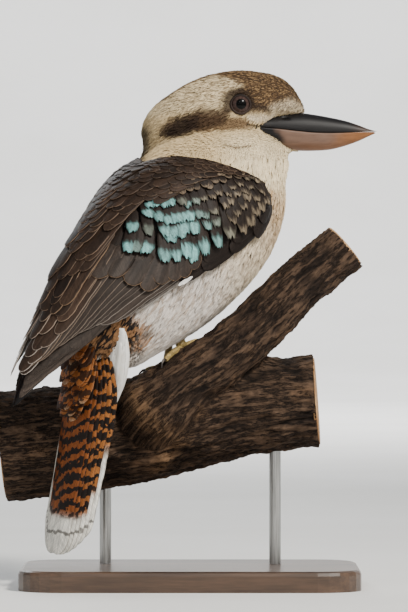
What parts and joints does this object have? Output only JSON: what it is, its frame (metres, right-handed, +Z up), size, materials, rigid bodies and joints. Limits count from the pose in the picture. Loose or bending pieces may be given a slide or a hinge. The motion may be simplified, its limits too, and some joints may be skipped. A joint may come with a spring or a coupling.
{
  "type": "laughing kookaburra on a perch",
  "caption": "Life-size laughing kookaburra perched on a cut fork of a branch, tail hanging, head in profile, on a flat stand.",
  "frame": {"origin": "centre of the underside of the stand's base, where it meets the table", "axes": "+Z up; +X the way the bill points; +Y away from the side that the right wing and the right side of the head show"},
  "size_m": [0.2606, 0.1626, 0.3527],
  "materials": {
    "body_feathers": "soft matte feathers",
    "wing_feathers": "matte flight feathers",
    "tail_feathers": "matte barred feathers",
    "white_feathers": "soft matte down",
    "upper_bill": "satin horn",
    "lower_bill": "satin horn",
    "eye": "wet gloss",
    "leg_skin": "scaly matte skin",
    "claw": "satin horn",
    "bark": "rough bark",
    "stand_wood": "dark satin lacquer",
    "stand_steel": "brushed"
  },
  "bodies": {
    "root": {"torso": "body_feathers", "neck": "body_feathers", "head": "body_feathers", "wing_right": "wing_feathers", "wing_left": "wing_feathers", "tail": "tail_feathers", "undertail": "white_feathers", "bill_upper": "upper_bill", "bill_lower": "lower_bill", "eye_right": "eye", "eye_left": "eye", "leg_right": "leg_skin", "leg_left": "leg_skin", "claw_right_inner": "claw", "claw_right_middle": "claw", "claw_right_outer": "claw", "claw_right_hind": "claw", "claw_left_inner": "claw", "claw_left_middle": "claw", "claw_left_outer": "claw", "claw_left_hind": "claw", "perch": "bark", "stand_base": "stand_wood", "stand_rod_left": "stand_steel", "stand_rod_right": "stand_steel"}
  },
  "joints": []
}
